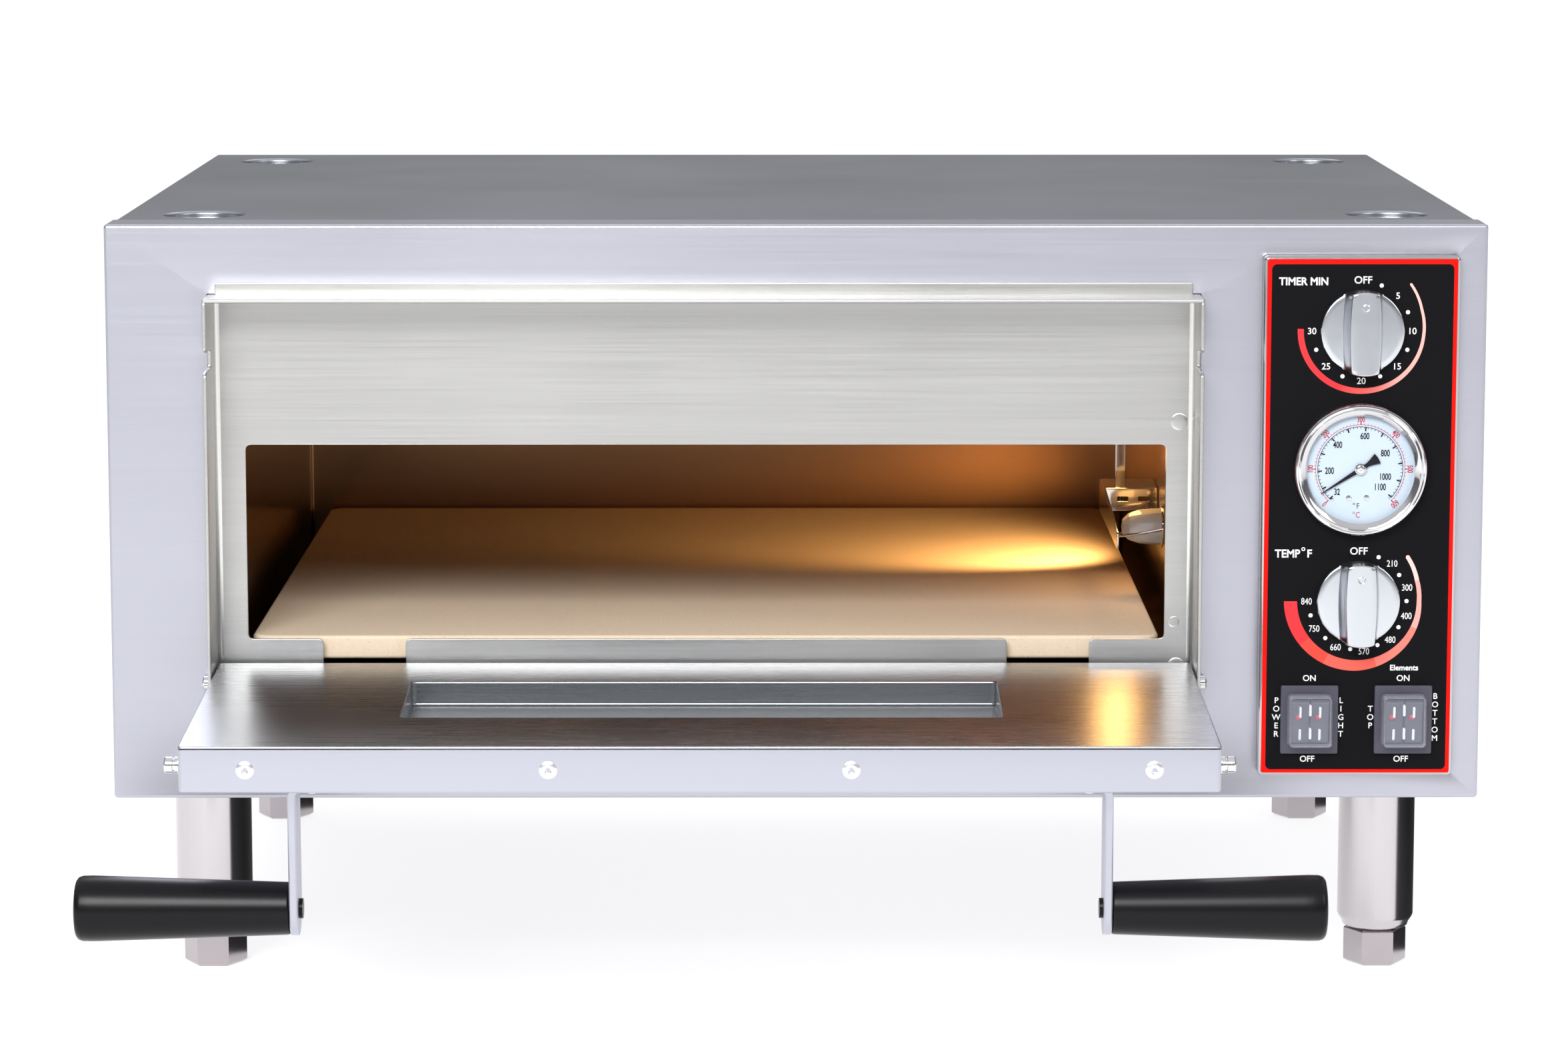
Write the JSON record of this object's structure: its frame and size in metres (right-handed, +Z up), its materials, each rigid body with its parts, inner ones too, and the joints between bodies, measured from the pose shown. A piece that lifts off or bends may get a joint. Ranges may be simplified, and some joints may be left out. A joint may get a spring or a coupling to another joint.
{
  "type": "deck oven",
  "caption": "Countertop electric deck oven with a drop-down glazed door, a stone-floored baking chamber, adjustable legs and a side control plate.",
  "frame": {"origin": "bottom centre of the box around the oven with its door open, on the floor", "axes": "+Z up, +Y from the door to the back, +X to the right seen from the front"},
  "size_m": [0.7, 0.7256, 0.399],
  "materials": {
    "stainless_casing": "fine brushed stainless sheet",
    "leg_steel": "brushed tube",
    "foot_steel": "plated hexagon, satin",
    "frame_steel": "horizontal brush, warm grey",
    "polished_chamber": "mirror-finished sheet, heat tinted",
    "baking_stone": "smooth fired stone, matt",
    "element_sheath": "dark oxidised sheath",
    "lamp_glass": "clear moulded glass",
    "ceramic": "unglazed",
    "bulb_copper": "plain copper alloy tube",
    "mineral_wool": "fibrous batt",
    "control_print": "printed film, black field in a red border",
    "zinc_steel": "zinc plated case",
    "knob_satin": "satin silver moulding",
    "bezel_chrome": "bright chrome",
    "dial_print": "pale printed dial",
    "window_glass": "clear toughened glass",
    "pointer_black": "satin black",
    "switch_plastic": "dark purple-grey moulding",
    "switch_cover": "clear moulded cover",
    "gland_nylon": "black moulded nylon",
    "door_steel": "polished stainless sheet",
    "grip_plastic": "gloss black moulding",
    "pin_steel": "turned steel"
  },
  "bodies": {
    "oven_body": {"top_cover": "stainless_casing", "left_side_panel": "stainless_casing", "right_side_panel": "stainless_casing", "back_panel": "stainless_casing", "base_panel": "stainless_casing", "front_fascia": "stainless_casing", "control_plate": "stainless_casing", "left_front_leg": "leg_steel", "left_rear_leg": "leg_steel", "right_front_leg": "leg_steel", "right_rear_leg": "leg_steel", "door_frame": "frame_steel", "chamber_left_wall": "polished_chamber", "chamber_right_wall": "polished_chamber", "chamber_back_wall": "polished_chamber", "chamber_ceiling": "polished_chamber", "chamber_floor": "polished_chamber", "lamp_guard": "polished_chamber", "baking_stone": "baking_stone", "top_heating_element": "element_sheath", "bottom_heating_element": "element_sheath", "lamp_lens": "lamp_glass", "lamp_socket": "ceramic", "thermostat_bulb": "bulb_copper", "insulation_top": "mineral_wool", "insulation_base": "mineral_wool", "insulation_surround": "mineral_wool", "control_label": "control_print", "timer_body": "zinc_steel", "thermostat_body": "zinc_steel", "gauge_case": "bezel_chrome", "gauge_dial": "dial_print", "gauge_lens": "window_glass", "power_switch_housing": "switch_plastic", "element_switch_housing": "switch_plastic", "power_switch_cover": "switch_cover", "element_switch_cover": "switch_cover", "cable_gland": "gland_nylon"},
    "door": {"door_outer_shell": "door_steel", "door_inner_panel": "door_steel", "door_glass": "window_glass", "left_handle_bracket": "door_steel", "right_handle_bracket": "door_steel", "left_grip": "grip_plastic", "right_grip": "grip_plastic", "left_pivot_pin": "pin_steel", "right_pivot_pin": "pin_steel", "left_latch_pin": "pin_steel", "right_latch_pin": "pin_steel"},
    "timer_knob": {"timer_knob": "knob_satin"},
    "thermostat_knob": {"thermostat_knob": "knob_satin"},
    "gauge_pointer": {"gauge_pointer": "pointer_black"},
    "power_rocker": {"power_rocker": "switch_plastic"},
    "light_rocker": {"light_rocker": "switch_plastic"},
    "top_element_rocker": {"top_element_rocker": "switch_plastic"},
    "bottom_element_rocker": {"bottom_element_rocker": "switch_plastic"},
    "left_front_foot": {"left_front_foot": "foot_steel"},
    "left_rear_foot": {"left_rear_foot": "foot_steel"},
    "right_front_foot": {"right_front_foot": "foot_steel"},
    "right_rear_foot": {"right_rear_foot": "foot_steel"}
  },
  "joints": [
    {"name": "door_hinge", "type": "hinge", "parent": "oven_body", "child": "door", "pos_m": [-0.0466, -0.1842, 0.165], "axis": [-1, 0, 0], "range_deg": [0, 92.5]},
    {"name": "timer_knob_turn", "type": "hinge", "parent": "oven_body", "child": "timer_knob", "pos_m": [0.28555, -0.1992, 0.346], "axis": [0, 1, 0], "range_deg": [0, 270]},
    {"name": "thermostat_knob_turn", "type": "hinge", "parent": "oven_body", "child": "thermostat_knob", "pos_m": [0.28555, -0.1992, 0.2079], "axis": [0, 1, 0], "range_deg": [0, 270]},
    {"name": "gauge_pointer_turn", "type": "hinge", "parent": "oven_body", "child": "gauge_pointer", "pos_m": [0.28555, -0.1922, 0.276], "axis": [0, 1, 0], "range_deg": [-12, 258], "stiffness_Nm_per_rad": 0.003},
    {"name": "power_rocker_tilt", "type": "hinge", "parent": "oven_body", "child": "power_rocker", "pos_m": [0.26165, -0.1889, 0.1471], "axis": [-1, 0, 0], "range_deg": [0, 18]},
    {"name": "light_rocker_tilt", "type": "hinge", "parent": "oven_body", "child": "light_rocker", "pos_m": [0.26165, -0.1889, 0.1471], "axis": [-1, 0, 0], "range_deg": [0, 18]},
    {"name": "top_element_rocker_tilt", "type": "hinge", "parent": "oven_body", "child": "top_element_rocker", "pos_m": [0.30945, -0.1889, 0.1471], "axis": [-1, 0, 0], "range_deg": [0, 18]},
    {"name": "bottom_element_rocker_tilt", "type": "hinge", "parent": "oven_body", "child": "bottom_element_rocker", "pos_m": [0.30945, -0.1889, 0.1471], "axis": [-1, 0, 0], "range_deg": [0, 18]},
    {"name": "left_front_foot_screw", "type": "slide", "parent": "oven_body", "child": "left_front_foot", "axis": [0, 0, 1], "range_m": [-0.02, 0]},
    {"name": "left_rear_foot_screw", "type": "slide", "parent": "oven_body", "child": "left_rear_foot", "axis": [0, 0, 1], "range_m": [-0.02, 0]},
    {"name": "right_front_foot_screw", "type": "slide", "parent": "oven_body", "child": "right_front_foot", "axis": [0, 0, 1], "range_m": [-0.02, 0]},
    {"name": "right_rear_foot_screw", "type": "slide", "parent": "oven_body", "child": "right_rear_foot", "axis": [0, 0, 1], "range_m": [-0.02, 0]}
  ]
}
